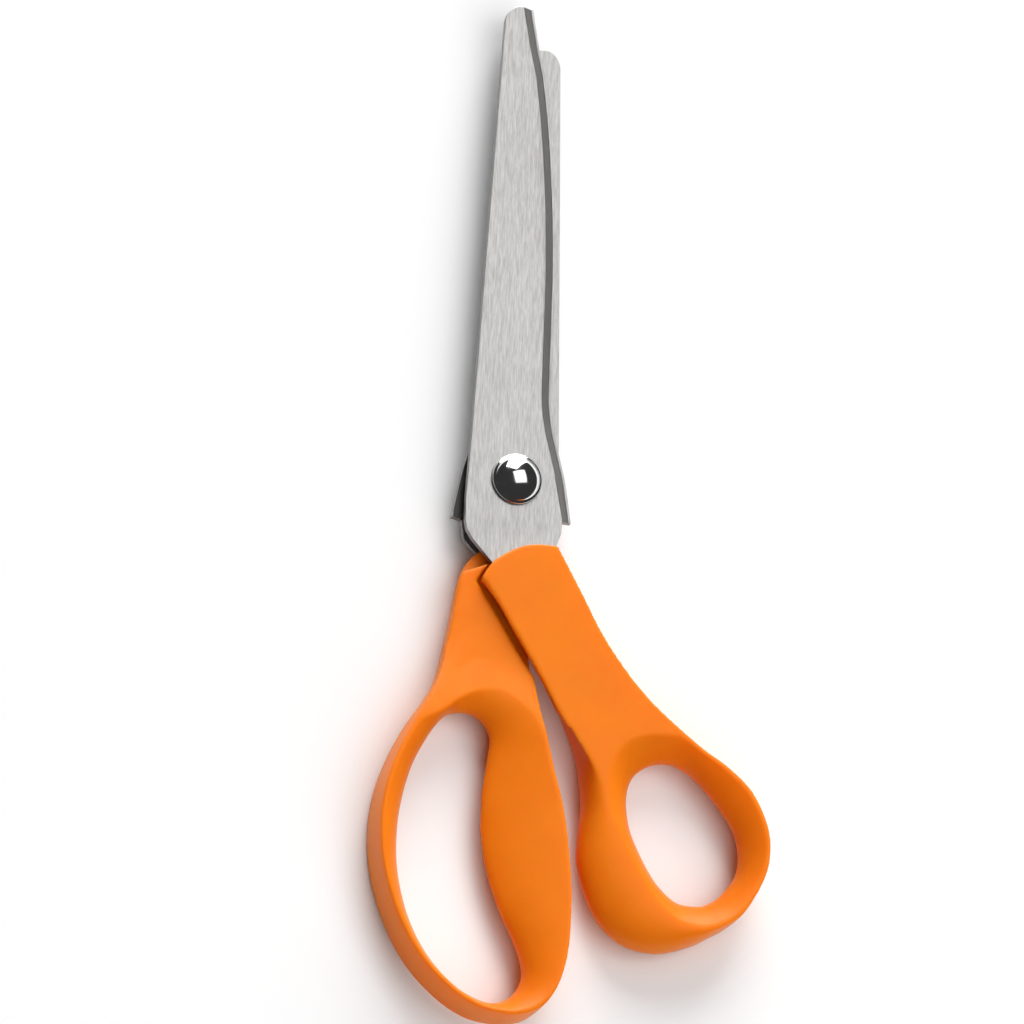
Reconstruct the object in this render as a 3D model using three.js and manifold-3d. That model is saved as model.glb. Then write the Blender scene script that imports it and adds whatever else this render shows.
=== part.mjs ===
// Pinking shears, closed and lying flat. Millimetres.
// +Z is up out of the surface they lie on, +Y runs along the blades to the tips, +X is to the right.
// The origin is on the pivot axis, on the flat end of the pivot nut, in the plane they rest on.
// The rear half carries the finger loop and the front half carries the thumb loop.
import * as THREE from "three";
import { mergeVertices } from "three/addons/utils/BufferGeometryUtils.js";
import Module from "manifold-3d";

const { clamp, degToRad, lerp, smoothstep } = THREE.MathUtils;
const wasm = await Module();
wasm.setup();

// ---- driving dimensions ----

const MID_HEIGHT = 6.0; // the plane between the two blades, above the resting surface
const RIDGE = 6.0; // front and back of the moulded loops, from the middle plane
const FACE_INNER = 1.4; // inner face of each blade plate, from the middle plane
const FACE_OUTER = 3.0; // outer face of each blade plate
const FOOT_OUTER = 1.6; // outer face of the toothed strip, after the bend towards the other blade

const TOOTH_PITCH = 4.0; // along the edge, measured as a radius from the pivot
const TOOTH_HEIGHT = 1.8; // crest to root
const TOOTH_START = 16.0; // radius of the first tooth
const TOOTH_GAP = 0.12; // between the meshing faces of the two blades
const STRIP_WIDTH = 2.6; // from the bend line to the cutting edge
const WALL_RUN = 2.0; // sideways run of the sloping wall
const LAND_WIDTH = 2.3; // width of the toothed land
const FRONT_HEEL_Y = -8.4; // square lower end of the toothed strip
const REAR_HEEL_Y = -9.7;
const FRONT_TIP_Y = 111.6;
const REAR_TIP_Y = 103.3;

const BOLT_RADIUS = 3.0;
const HEAD_RADIUS = 5.9;
const HEAD_TOP = 6.2; // crown of the bolt head, from the middle plane
const HEAD_RIM = 1.0; // height of the straight rim under the dome
const SLEEVE_RADIUS = 3.9;
const FLANGE_RADIUS = 6.6;
const SPRING_RADIUS = 5.4;
const SPRING_THICKNESS = 0.4;
const SPRING_DISH = 0.25; // how far the disc spring's rim stands off the rear blade
const NUT_FLATS = 10.0;
const NUT_TOP = -3.85;
const NUT_CHAMFER = 0.6;
const NUT_BORE_DEPTH = 1.4; // the nut is closed at its outer end
const FIT_GAP = 0.1; // between pieces that touch round the pivot
const MOULD_GAP = 0.3; // between a tang and its pocket, and between the lapped shanks

const SHANK_STEP = 2.6; // height of the lower shank face at its blade end
const SHANK_RISE = { start: 38, end: 60 }; // distances below the pivot between which that face rises
const LEDGE_HEIGHT = -0.3; // the finger handle's upper end is cut down to a ledge at this height
const LAP_CLEAR_RADIUS = 21.5; // round the pivot the front half keeps above the middle plane
const FAR = 20; // beyond every face of the object, for cutting solids
const ROUND = 48; // facets round the pivot's pieces

const STEEL = { color: 0xb9b9b6, roughness: 0.34, metalness: 1.0 };
const CHROME = { color: 0xd8d8d6, roughness: 0.08, metalness: 1.0 };
const DARK_STEEL = { color: 0x8d8d8b, roughness: 0.4, metalness: 1.0 };
const ORANGE = { color: 0xf07a1a, roughness: 0.42, metalness: 0.0 };
const NYLON = { color: 0xe9e6dc, roughness: 0.5, metalness: 0.0 };

// ---- outlines, seen from the front, with the pivot at (0, 0) ----

// Cutting edge of the front blade, from the heel to the tip.
const EDGE = [
  [14.1, -9.8], [13.7, -8.4], [11.9, 1.3], [10.3, 7.0], [8.6, 13.6], [7.7, 20.8], [7.6, 36.0],
  [7.4, 51.0], [6.6, 66.0], [5.2, 81.3], [3.3, 94.8], [1.4, 102.7], [-0.4, 111.6],
];

// Spine of a blade: a straight back, then a rounded corner down to the tip.
const SPINE_LOW = [-11.0, 8.0];
const SPINE_SLOPE = 3.8 / 100; // inwards per millimetre towards the tip
const CORNER = { width: 3.6, length: 4.2 };
const BLADE_STEPS = 26; // sections along a blade
const UNDER_SHOULDER_X = -9.0; // below the spine the tang outline gives the edge of the plate

// Lower end of the front blade, from the spine round the heel and the tang to the bend line.
const FRONT_TANG = [
  [-10.9, 11.4], [-11.0, 8.0], [-11.7, -5.8], [-11.6, -10.7], [-11.1, -12.9], [-9.8, -14.9],
  [-5.2, -19.7], [-1.4, -23.6], [12.4, -49.0], [15.6, -50.6], [19.6, -48.6], [20.9, -45.3], [8.6, -17.8],
  [10.2, -14.1], [11.1, -11.4], [11.2, -8.0], [9.2, 1.3], [7.0, 8.2],
];

// The same for the rear blade, seen from its own outer face, where its tang runs straight down.
const REAR_TANG = [
  [-10.9, 11.4], [-11.0, 8.0], [-11.7, -5.8], [-11.6, -10.7], [-11.1, -12.9], [-9.8, -14.9],
  [-5.2, -19.7], [-1.0, -23.0], [-0.2, -43.0], [1.4, -45.4], [6.6, -45.8], [8.6, -43.6], [8.2, -20.5],
  [7.4, -17.2], [8.9, -15.8], [10.5, -14.1], [11.1, -11.2], [11.1, -8.0], [9.2, 1.3], [7.0, 8.2],
];

// Thumb handle. Each row is one station round the thumb hole, as four points across the ring:
// the waist of the hole, the inner ridge, the outer ridge and the outermost waist.
// A fifth point is the outer ridge of the back face, where it isn't straight behind the front one.
const OUTER = 2;
const SECTIONS_PER_STATION = 3;
const THUMB_STATIONS = [
  [[47.8, -93.8], [47.7, -99.7], [47.6, -100.6], [46.5, -103.2]],
  [[42.5, -93.6], [42.0, -99.0], [41.4, -99.9], [38.3, -105.9]],
  [[38.1, -90.3], [37.0, -95.4], [36.2, -96.2], [29.9, -104.6]],
  [[35.4, -86.8], [32.7, -89.9], [31.9, -90.6], [23.4, -98.8]],
  [[33.0, -82.7], [29.1, -83.6], [28.2, -84.0], [19.2, -88.4]],
  [[31.0, -78.3], [26.5, -78.3], [25.6, -78.5], [18.9, -80.7]],
  [[30.0, -73.5], [24.8, -74.0], [23.9, -73.9], [19.5, -73.6]],
  [[29.9, -70.3], [24.3, -70.0], [22.3, -69.2], [18.9, -66.8]],
  [[30.2, -68.2], [24.4, -67.0], [19.2, -64.6], [17.6, -60.9], [21.0, -63.0]],
  [[30.7, -66.8], [24.9, -64.0], [13.4, -57.1], [14.9, -54.9], [17.4, -54.6]],
  [[31.3, -65.6], [25.8, -61.8], [6.7, -45.9], [9.2, -44.9], [11.4, -44.0]],
  [[32.0, -64.7], [26.8, -60.2], [-2.5, -32.0], [-0.6, -31.0], [2.0, -30.0]],
  [[32.6, -64.2], [27.7, -59.2], [-6.9, -25.7], [-5.4, -25.4], [-4.8, -25.5]],
  [[32.8, -64.0], [28.0, -58.9], [-7.7, -24.5], [-6.3, -24.3]],
  [[33.7, -63.3], [29.3, -58.0], [-4.6, -19.8], [-4.0, -20.4]],
  [[34.7, -62.7], [31.0, -57.3], [2.1, -15.8], [2.2, -16.8]],
  [[35.8, -62.2], [32.9, -56.7], [9.2, -15.0], [8.8, -16.0]],
  [[36.1, -62.1], [33.5, -56.6], [10.1, -15.6], [9.4, -16.4]],
  [[36.4, -62.0], [34.1, -56.5], [11.6, -17.8], [10.8, -18.2]],
  [[37.0, -61.8], [35.2, -56.4], [16.5, -26.0], [15.7, -26.4]],
  [[38.6, -61.6], [37.8, -56.2], [22.4, -35.8], [21.6, -36.3]],
  [[40.8, -61.8], [40.7, -56.3], [31.8, -47.2], [31.2, -47.9]],
  [[44.5, -63.3], [45.3, -58.9], [44.5, -57.3], [43.9, -57.9]],
  [[48.5, -66.8], [51.5, -62.7], [52.0, -61.9], [51.4, -62.6]],
  [[52.3, -71.0], [57.4, -67.9], [58.1, -67.2], [57.3, -67.8]],
  [[55.4, -75.6], [61.2, -75.2], [62.1, -75.0], [61.2, -75.3]],
  [[56.8, -80.8], [61.9, -82.1], [62.8, -82.3], [61.9, -82.3]],
  [[56.1, -86.0], [60.1, -88.6], [60.9, -89.1], [60.4, -89.3]],
  [[53.0, -90.6], [56.0, -95.2], [56.6, -95.9], [57.4, -95.6]],
  [[50.5, -92.7], [52.3, -98.1], [52.5, -99.0], [52.0, -99.7]],
];

// Finger handle, the same way round the finger hole.
const FINGER_STATIONS = [
  [[-3.4, -121.7], [-4.4, -123.8], [-4.7, -124.3], [-4.9, -124.6]],
  [[-9.0, -119.1], [-10.6, -120.6], [-10.9, -121.0], [-11.3, -121.3]],
  [[-15.3, -113.1], [-17.6, -114.3], [-18.0, -114.6], [-18.4, -114.8]],
  [[-20.1, -104.9], [-23.1, -105.6], [-23.6, -105.8], [-24.2, -106.0]],
  [[-23.0, -94.9], [-27.0, -95.0], [-27.6, -95.1], [-28.0, -95.1]],
  [[-23.7, -85.6], [-28.3, -85.4], [-28.9, -85.4], [-29.3, -85.4]],
  [[-22.9, -77.3], [-27.5, -76.1], [-28.1, -75.9], [-28.5, -75.8]],
  [[-20.8, -68.9], [-24.7, -67.3], [-25.3, -67.0], [-25.8, -66.8]],
  [[-17.5, -61.9], [-20.8, -59.9], [-21.5, -59.4], [-22.2, -59.0]],
  [[-15.3, -58.4], [-17.2, -57.6], [-18.9, -53.3], [-18.6, -53.1], [-17.4, -53.6]],
  [[-13.6, -56.5], [-14.8, -56.0], [-16.3, -46.8], [-15.5, -46.8], [-14.2, -47.0]],
  [[-12.6, -55.9], [-13.4, -54.6], [-13.9, -35.0], [-13.2, -35.0], [-11.8, -35.0]],
  [[-11.8, -55.6], [-12.2, -53.6], [-12.3, -24.2], [-11.3, -24.4], [-10.1, -24.7]],
  [[-11.1, -55.4], [-11.0, -52.8], [-9.6, -19.9], [-9.4, -19.5], [-8.8, -20.1]],
  [[-10.4, -55.3], [-9.8, -52.0], [-5.4, -17.2], [-5.5, -16.4]],
  [[-9.6, -55.2], [-8.5, -51.3], [2.0, -17.4], [2.4, -16.8]],
  [[-8.7, -55.2], [-7.0, -50.7], [4.6, -21.0], [5.2, -20.6]],
  [[-7.7, -55.4], [-5.4, -50.2], [4.6, -33.0], [5.2, -33.0]],
  [[-6.4, -55.9], [-3.4, -50.0], [5.3, -42.0], [5.6, -42.0]],
  [[-5.0, -56.8], [-0.6, -50.3], [6.4, -47.5], [6.2, -47.7]],
  [[-3.7, -58.5], [5.4, -54.5], [7.6, -53.9], [7.3, -54.1]],
  [[-2.9, -61.0], [8.0, -60.0], [9.3, -60.0], [8.9, -60.1]],
  [[-3.3, -65.6], [9.9, -66.7], [11.1, -66.8], [10.6, -66.9]],
  [[-4.2, -73.5], [12.7, -76.0], [13.8, -76.2], [13.3, -76.3]],
  [[-4.1, -82.5], [14.5, -85.8], [15.5, -86.0], [15.0, -86.1]],
  [[-2.4, -91.3], [15.5, -95.5], [16.5, -95.8], [15.9, -95.9]],
  [[0.9, -100.0], [15.7, -104.2], [16.6, -104.6], [16.0, -104.8]],
  [[4.8, -107.3], [15.0, -111.9], [15.8, -112.4], [15.4, -112.8]],
  [[6.9, -113.3], [13.1, -117.8], [13.7, -118.5], [13.4, -119.1]],
  [[6.2, -117.6], [9.9, -122.1], [10.2, -122.9], [10.0, -123.5]],
  [[3.8, -120.6], [5.2, -124.4], [5.3, -125.0], [5.1, -125.5]],
  [[0.4, -122.0], [0.3, -124.6], [0.3, -125.1], [0.2, -125.6]],
];

// How a section of the ring runs up from the waist of the hole to the inner ridge, and down from the outer
// ridge to the outermost waist: [share of the way across, share of the ridge height].
const HOLE_FLANK = [[0.18, 0.4], [0.55, 0.78], [1, 1]];
const CROWN = [0.33, 0.67];
const OUTER_FLANK = [[0, 0.98], [0.5, 0.86], [0.87, 0.5]];

// The same where the ring narrows towards the middle plane: an upright edge, then an undercut.
const UNDERCUT_FLANK = [[0, 0.98], [0.1, 0.55], [0.6, 0.22]];
const UNDERCUT_FULL = 0.8; // the undercut profile is complete where the ring narrows by this much

// ---- solids ----

function solidOf(geometry) {
  const bare = geometry.clone();
  for (const name of Object.keys(bare.attributes)) {
    if (name !== "position") bare.deleteAttribute(name);
  }
  const merged = mergeVertices(bare, 1e-4);
  return new wasm.Manifold(
    new wasm.Mesh({
      numProp: 3,
      vertProperties: new Float32Array(merged.attributes.position.array),
      triVerts: new Uint32Array(merged.index.array),
    }),
  );
}

function geometryOf(solid) {
  const mesh = solid.getMesh();
  const geometry = new THREE.BufferGeometry();
  geometry.setAttribute("position", new THREE.BufferAttribute(mesh.vertProperties, 3));
  geometry.setIndex(new THREE.BufferAttribute(mesh.triVerts, 1));
  geometry.computeVertexNormals();
  return geometry;
}

function named(name, geometry, finish) {
  const mesh = new THREE.Mesh(geometry, new THREE.MeshStandardMaterial(finish));
  mesh.name = name;
  return mesh;
}

// A prism of an outline in the XY plane, from z = low to z = high.
function prism(outline, low, high) {
  const shape = new THREE.Shape(outline.map(([x, y]) => new THREE.Vector2(x, y)));
  const geometry = new THREE.ExtrudeGeometry(shape, { depth: high - low, bevelEnabled: false });
  geometry.translate(0, 0, low);
  return geometry;
}

// A turned solid about Z from [radius, z] pairs that close on themselves or end on the axis.
function turned(profile, segments) {
  const points = profile.map(([r, z]) => new THREE.Vector2(r, z));
  return new THREE.LatheGeometry(points, segments).rotateX(Math.PI / 2);
}

function disc(radius, low, high) {
  return turned([[0, low], [radius, low], [radius, high], [0, high]], ROUND);
}

// Moves each side of a closed outline outwards by a distance, mitring the corners.
function grown(outline, distance) {
  const turn = Math.sign(THREE.ShapeUtils.area(outline.map(([x, y]) => ({ x, y }))));
  return outline.map((point, i) => {
    const before = outline[(i + outline.length - 1) % outline.length];
    const after = outline[(i + 1) % outline.length];
    const a = new THREE.Vector2(point[1] - before[1], before[0] - point[0]).normalize();
    const b = new THREE.Vector2(after[1] - point[1], point[0] - after[0]).normalize();
    const mitre = a.clone().add(b).normalize();
    const reach = (turn * distance) / Math.max(0.5, mitre.dot(a));
    return [point[0] + mitre.x * reach, point[1] + mitre.y * reach];
  });
}

// Joins rings of equally many points into one closed skin. The rings close on each other, or end in caps.
function skin(rings, loops) {
  const around = rings[0].length;
  const positions = rings.flat(2);
  const index = [];
  const last = loops ? rings.length : rings.length - 1;
  for (let i = 0; i < last; i++) {
    const next = (i + 1) % rings.length;
    for (let j = 0; j < around; j++) {
      const k = (j + 1) % around;
      const corner = [i * around + j, next * around + j, next * around + k, i * around + k];
      index.push(corner[0], corner[1], corner[2], corner[0], corner[2], corner[3]);
    }
  }
  const geometry = new THREE.BufferGeometry();
  geometry.setAttribute("position", new THREE.Float32BufferAttribute(positions, 3));
  if (!loops) index.push(...caps(rings));
  geometry.setIndex(index);
  return geometry;
}

// Flat caps for the first and the last ring, which both lie in planes across Y.
function caps(rings) {
  const around = rings[0].length;
  const start = (rings.length - 1) * around;
  const flat = rings[0].map(([x, , z]) => new THREE.Vector2(x, z));
  const faces = THREE.ShapeUtils.triangulateShape(flat, []);
  const index = [];
  for (const [a, b, c] of faces) {
    index.push(a, b, c, start + a, start + c, start + b);
  }
  return index;
}

// ---- blades ----

const edgeCurve = new THREE.SplineCurve(EDGE.map(([x, y]) => new THREE.Vector2(x, y)));
const edgeSamples = edgeCurve.getPoints(20 * EDGE.length);

function edgeAt(y) {
  const i = Math.max(1, edgeSamples.findIndex((p) => p.y >= y));
  const [a, b] = [edgeSamples[i - 1], edgeSamples[i]];
  return lerp(a.x, b.x, clamp((y - a.y) / (b.y - a.y), 0, 1));
}

function spineAt(y, tipY) {
  const straight = SPINE_LOW[0] + SPINE_SLOPE * (y - SPINE_LOW[1]);
  const into = clamp((y - (tipY - CORNER.length)) / CORNER.length, 0, 1);
  return straight + CORNER.width * (1 - Math.sqrt(1 - into * into));
}

// Section of a blade across Y: the flat plate, the sloping wall and the land before its teeth are cut.
function bladeRing(y, spine) {
  const edge = edgeAt(y);
  const bend = edge - STRIP_WIDTH;
  const inner = edge - LAND_WIDTH;
  return [
    [spine, y, FACE_INNER],
    [inner, y, FACE_INNER],
    [inner, y, -TOOTH_HEIGHT],
    [edge, y, -TOOTH_HEIGHT],
    [edge, y, FOOT_OUTER],
    [bend + WALL_RUN, y, FOOT_OUTER],
    [bend, y, FACE_OUTER],
    [spine, y, FACE_OUTER],
  ];
}

function bladeSkin(heelY, tipY) {
  const rings = [];
  const straightEnd = tipY - CORNER.length;
  for (let i = 0; i <= BLADE_STEPS; i++) {
    const y = lerp(heelY, straightEnd, i / BLADE_STEPS);
    rings.push(bladeRing(y, y < SPINE_LOW[1] ? UNDER_SHOULDER_X : spineAt(y, tipY)));
  }
  for (const angle of [20, 40, 60, 78]) {
    const y = straightEnd + CORNER.length * Math.sin(degToRad(angle));
    rings.push(bladeRing(y, spineAt(y, tipY)));
  }
  return skin(rings, false);
}

// Everything above the zigzag surface that the teeth are cut to. Its crests are circles about the pivot,
// so the two blades mesh wherever their edges cross. The phase is 0 or half a pitch.
function toothCutter(phase) {
  const profile = [[0, TOOTH_GAP / 2], [TOOTH_START, TOOTH_GAP / 2]];
  const outermost = FRONT_TIP_Y + TOOTH_PITCH;
  const above = FACE_OUTER + TOOTH_PITCH;
  const half = TOOTH_PITCH / 2;
  let side = phase;
  for (let r = TOOTH_START + half / 2; r < outermost; r += half) {
    profile.push([r, TOOTH_GAP / 2 + side * (TOOTH_HEIGHT / 2)]);
    side = -side;
  }
  profile.push([outermost, above], [0, above]);
  return turned(profile, 96);
}

// A blade as seen from its own outer face, with the teeth towards -Z.
function blade(heelY, tipY, tang, phase, boreRadius) {
  const plate = solidOf(prism(tang, FACE_INNER, FACE_OUTER));
  return solidOf(bladeSkin(heelY, tipY))
    .intersect(solidOf(toothCutter(phase)))
    .add(plate)
    .subtract(solidOf(disc(boreRadius, -FAR, FAR)));
}

// ---- handles ----

// The shank face next to the other handle starts low at the blade end and rises to the full ridge height.
function risingFace(y) {
  const rise = smoothstep(-y, SHANK_RISE.start, SHANK_RISE.end);
  return SHANK_STEP + (RIDGE - SHANK_STEP) * rise;
}

// One closed section across a handle's ring, from the waist of the hole over the front and back to the waist.
function handleRing(waist, inner, outer, rim, backOuter, frontAt, backAt) {
  const side = (ridge, heightAt) => {
    const point = (a, b, across, height) => {
      const place = a.clone().lerp(b, across);
      return [place.x, place.y, heightAt(place.y) * height];
    };
    const narrowing = rim.clone().sub(ridge).dot(waist.clone().sub(ridge).normalize());
    const undercut = clamp(narrowing / UNDERCUT_FULL, 0, 1);
    return [
      ...HOLE_FLANK.map(([across, height]) => point(waist, inner, across, height)),
      ...CROWN.map((across) => point(inner, ridge, across, 1)),
      ...OUTER_FLANK.map(([across, height], i) => {
        const [under, low] = UNDERCUT_FLANK[i];
        return point(ridge, rim, lerp(across, under, undercut), lerp(height, low, undercut));
      }),
    ];
  };
  const middle = (p) => [p.x, p.y, (frontAt(p.y) + backAt(p.y)) / 2];
  return [
    [waist.x, waist.y, 0],
    ...side(outer, frontAt),
    middle(rim),
    ...side(backOuter, backAt).reverse(),
  ];
}

function handleSkin(stations, frontAt, backAt) {
  const steps = SECTIONS_PER_STATION * stations.length;
  const rails = [0, 1, 2, 3, 4].map((column) => {
    const points = stations.map((row) => new THREE.Vector3(...(row[column] ?? row[OUTER]), 0));
    return new THREE.CatmullRomCurve3(points, true, "catmullrom", 0.5);
  });
  const rings = [];
  for (let i = 0; i < steps; i++) {
    const points = rails.map((rail) => rail.getPoint(i / steps));
    rings.push(handleRing(...points, frontAt, backAt));
  }
  return skin(rings, true);
}

const full = () => RIDGE;
const fullBack = () => -RIDGE;

// Where the shanks lap, the front one keeps above this surface and the rear one below it.
// It is level next to the pivot and rises towards the loops.
const LAP_PROFILE = [[-10, 0], [-38, 0], [-52, 3.6], [-60, 3.6]];

const LAP_HALF_WIDTH = 40;

// The space between that surface and z = far, which is cut from the handle on the other side.
function lapSolid(offset, far) {
  const surface = LAP_PROFILE.map(([y, z]) => [y, z + offset]);
  const outline = [...surface, [surface.at(-1)[0], far], [surface[0][0], far]];
  const geometry = prism(outline, -LAP_HALF_WIDTH, LAP_HALF_WIDTH);
  return solidOf(geometry.rotateX(Math.PI / 2).rotateZ(Math.PI / 2));
}

// Left edge of the thumb handle's shank, which the finger handle steps down along.
const THUMB_EDGE = [[-8.2, -24.6], [-2.9, -32.3], [3.3, -41.7], [6.4, -46.4], [9.9, -52.3]];
const BESIDE_THUMB = [[40, -52], [40, -10], [-5.4, -10], [-5.4, -20.2]];
// The finger handle's upper end, above a slanting line across the shank.
const LEDGE = [[-20, -26.6], [-20, -10], [10, -10], [10, -13.4]];
// Right edge of the finger handle's shank, which the thumb handle steps up along.
const FINGER_EDGE = [[6.0, -16.0], [6.0, -33.0], [6.2, -42.0], [8.4, -47.6]];

function thumbHandle() {
  const body = solidOf(handleSkin(THUMB_STATIONS, full, (y) => -risingFace(y)));
  const pocket = solidOf(
    prism(grown(FRONT_TANG, MOULD_GAP), FACE_INNER - MOULD_GAP, FACE_OUTER + MOULD_GAP),
  );
  const beside = [[-LAP_HALF_WIDTH, FINGER_EDGE.at(-1)[1]], [-LAP_HALF_WIDTH, FINGER_EDGE[0][1]]];
  const lapped = solidOf(prism([...FINGER_EDGE, ...beside], -FAR, FAR)).add(
    solidOf(disc(LAP_CLEAR_RADIUS, -FAR, FAR)),
  );
  return body.subtract(pocket).subtract(lapped.intersect(lapSolid(MOULD_GAP / 2, -FAR)));
}

function fingerHandle() {
  const body = solidOf(handleSkin(FINGER_STATIONS, risingFace, fullBack));
  const tang = REAR_TANG.map(([x, y]) => [-x, y]);
  const pocket = solidOf(
    prism(grown(tang, MOULD_GAP), -FACE_OUTER - MOULD_GAP, -FACE_INNER + MOULD_GAP),
  );
  const lapped = solidOf(prism([...THUMB_EDGE, ...BESIDE_THUMB], -FAR, FAR));
  return body
    .subtract(pocket)
    .subtract(lapped.intersect(lapSolid(-MOULD_GAP / 2, FAR)))
    .subtract(solidOf(prism(LEDGE, LEDGE_HEIGHT, FAR)));
}

// ---- pivot ----

function pivotBolt() {
  const seat = FACE_OUTER + FIT_GAP;
  const rimTop = seat + HEAD_RIM;
  const end = NUT_TOP - NUT_BORE_DEPTH + FIT_GAP;
  const dome = [];
  for (const angle of [0, 18, 36, 54, 72]) {
    const turn = degToRad(angle);
    dome.push([HEAD_RADIUS * Math.cos(turn), rimTop + (HEAD_TOP - rimTop) * Math.sin(turn)]);
  }
  return turned(
    [
      [0, end],
      [BOLT_RADIUS - FIT_GAP, end],
      [BOLT_RADIUS - FIT_GAP, seat],
      [HEAD_RADIUS, seat],
      ...dome,
      [0, HEAD_TOP],
    ],
    ROUND,
  );
}

// Flanged sleeve: the sleeve lines the front blade, and the flange keeps it off the rear one.
function pivotBushing() {
  return turned(
    [
      [BOLT_RADIUS, FIT_GAP / 2],
      [FLANGE_RADIUS, FIT_GAP / 2],
      [FLANGE_RADIUS, FACE_INNER - FIT_GAP],
      [SLEEVE_RADIUS, FACE_INNER - FIT_GAP],
      [SLEEVE_RADIUS, FACE_OUTER],
      [BOLT_RADIUS, FACE_OUTER],
      [BOLT_RADIUS, FIT_GAP / 2],
    ],
    ROUND,
  );
}

// Flat ring that fills the rest of the gap between the two plates.
function pivotSpacer() {
  const low = -FACE_INNER + FIT_GAP / 2;
  return turned(
    [[BOLT_RADIUS, low], [FLANGE_RADIUS, low], [FLANGE_RADIUS, 0], [BOLT_RADIUS, 0], [BOLT_RADIUS, low]],
    ROUND,
  );
}

// Disc spring, a shallow cone between the rear blade and the nut.
function springWasher() {
  const top = -FACE_OUTER - FIT_GAP;
  const rim = top - SPRING_DISH;
  return turned(
    [
      [BOLT_RADIUS, top - SPRING_THICKNESS],
      [SPRING_RADIUS, rim - SPRING_THICKNESS],
      [SPRING_RADIUS, rim],
      [BOLT_RADIUS, top],
      [BOLT_RADIUS, top - SPRING_THICKNESS],
    ],
    ROUND,
  );
}

function pivotNut() {
  const corner = NUT_FLATS / 2 / Math.cos(Math.PI / 6);
  const hexagon = [0, 1, 2, 3, 4, 5].map((i) => {
    const angle = (i * Math.PI) / 3;
    return [corner * Math.cos(angle), corner * Math.sin(angle)];
  });
  const bottom = -MID_HEIGHT;
  const outside = corner + FIT_GAP;
  const chamfered = turned(
    [[0, bottom], [NUT_FLATS / 2, bottom], [outside, bottom + NUT_CHAMFER], [outside, 0], [0, 0]],
    ROUND,
  );
  return solidOf(prism(hexagon, bottom, NUT_TOP))
    .intersect(solidOf(chamfered))
    .subtract(solidOf(disc(BOLT_RADIUS, NUT_TOP - NUT_BORE_DEPTH, 0)));
}

// ---- assembly ----

const frontBlade = blade(FRONT_HEEL_Y, FRONT_TIP_Y, FRONT_TANG, 1, SLEEVE_RADIUS + FIT_GAP);
const rearBlade = blade(REAR_HEEL_Y, REAR_TIP_Y, REAR_TANG, -1, BOLT_RADIUS + FIT_GAP);

const shears = new THREE.Group();
shears.position.z = MID_HEIGHT;

const frontHalf = new THREE.Group();
frontHalf.add(named("front_blade", geometryOf(frontBlade), STEEL));
frontHalf.add(named("thumb_handle", geometryOf(thumbHandle()), ORANGE));
frontHalf.add(named("pivot_bushing", pivotBushing(), NYLON));

const rearHalf = new THREE.Group();
const rearMesh = named("rear_blade", geometryOf(rearBlade), STEEL);
rearMesh.rotation.y = Math.PI; // the rear blade faces the other way, so its teeth point up
rearHalf.add(rearMesh);
rearHalf.add(named("finger_handle", geometryOf(fingerHandle()), ORANGE));
rearHalf.add(named("pivot_bolt", pivotBolt(), CHROME));
rearHalf.add(named("pivot_spacer", pivotSpacer(), DARK_STEEL));
rearHalf.add(named("spring_washer", springWasher(), DARK_STEEL));
rearHalf.add(named("pivot_nut", geometryOf(pivotNut()), CHROME));

shears.add(frontHalf, rearHalf);
const group = new THREE.Group();
group.add(shears);
export default group;
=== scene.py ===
"""Pinking shears, closed and lying flat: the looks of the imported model.

Shapes are built in millimetres from the middle plane between the two blades, where the pivot is at
(0, 0, 0), +Y runs along the blades and +Z is up. They move to metres and to the row frame at the end.
"""
import math

import bmesh
import bpy
import numpy as np
from mathutils import Matrix, Vector


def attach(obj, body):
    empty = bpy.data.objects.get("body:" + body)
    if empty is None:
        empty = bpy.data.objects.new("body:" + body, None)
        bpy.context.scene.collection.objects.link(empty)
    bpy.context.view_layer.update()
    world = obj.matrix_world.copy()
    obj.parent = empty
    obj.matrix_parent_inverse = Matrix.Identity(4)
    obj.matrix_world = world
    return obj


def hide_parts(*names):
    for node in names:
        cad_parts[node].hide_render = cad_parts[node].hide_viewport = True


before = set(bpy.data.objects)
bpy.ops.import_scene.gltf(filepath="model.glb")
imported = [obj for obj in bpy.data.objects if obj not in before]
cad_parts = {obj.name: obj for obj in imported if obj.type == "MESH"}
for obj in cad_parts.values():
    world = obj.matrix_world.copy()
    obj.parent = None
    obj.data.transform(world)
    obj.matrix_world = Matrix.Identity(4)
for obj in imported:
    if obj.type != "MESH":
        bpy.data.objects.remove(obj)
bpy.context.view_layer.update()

# ---- sizes, in millimetres ----

MM = 0.001
MID_HEIGHT = 6.0  # the plane between the blades, above the surface that the shears lie on
RIDGE = 6.0  # front and back of the moulded loops, from the middle plane
FACE_INNER = 1.4
FACE_OUTER = 3.0
FOOT_OUTER = 1.6

TOOTH_PITCH = 4.0
TOOTH_HEIGHT = 1.8
TOOTH_START = 16.0
TOOTH_GAP = 0.12
STRIP_WIDTH = 2.6
WALL_RUN = 2.0
LAND_WIDTH = 2.3
FRONT_HEEL_Y = -8.4
REAR_HEEL_Y = -9.7
FRONT_TIP_Y = 111.6
REAR_TIP_Y = 103.3
BEND_RADIUS = 0.55  # outside of the joggle's bends
EDGE_BREAK = 0.09  # ground-off sharp edges of the blades

BORE_RADIUS = 3.1
HEAD_RADIUS = 5.9
HEAD_SEAT = 3.1
HEAD_TOP = 6.2
HEAD_RIM = [  # inwards from the head's radius, and up from its seat
    (0.25, 0.0), (0.03, 0.12), (0.0, 0.3), (0.0, 0.45), (0.05, 0.66), (0.18, 0.84), (0.38, 0.94),
    (0.6, 0.97),
]
DOME_START = 25.0  # the dome is an elliptical arc from this angle up
SHANK_RADIUS = 2.9
SHANK_END = -5.15

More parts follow.
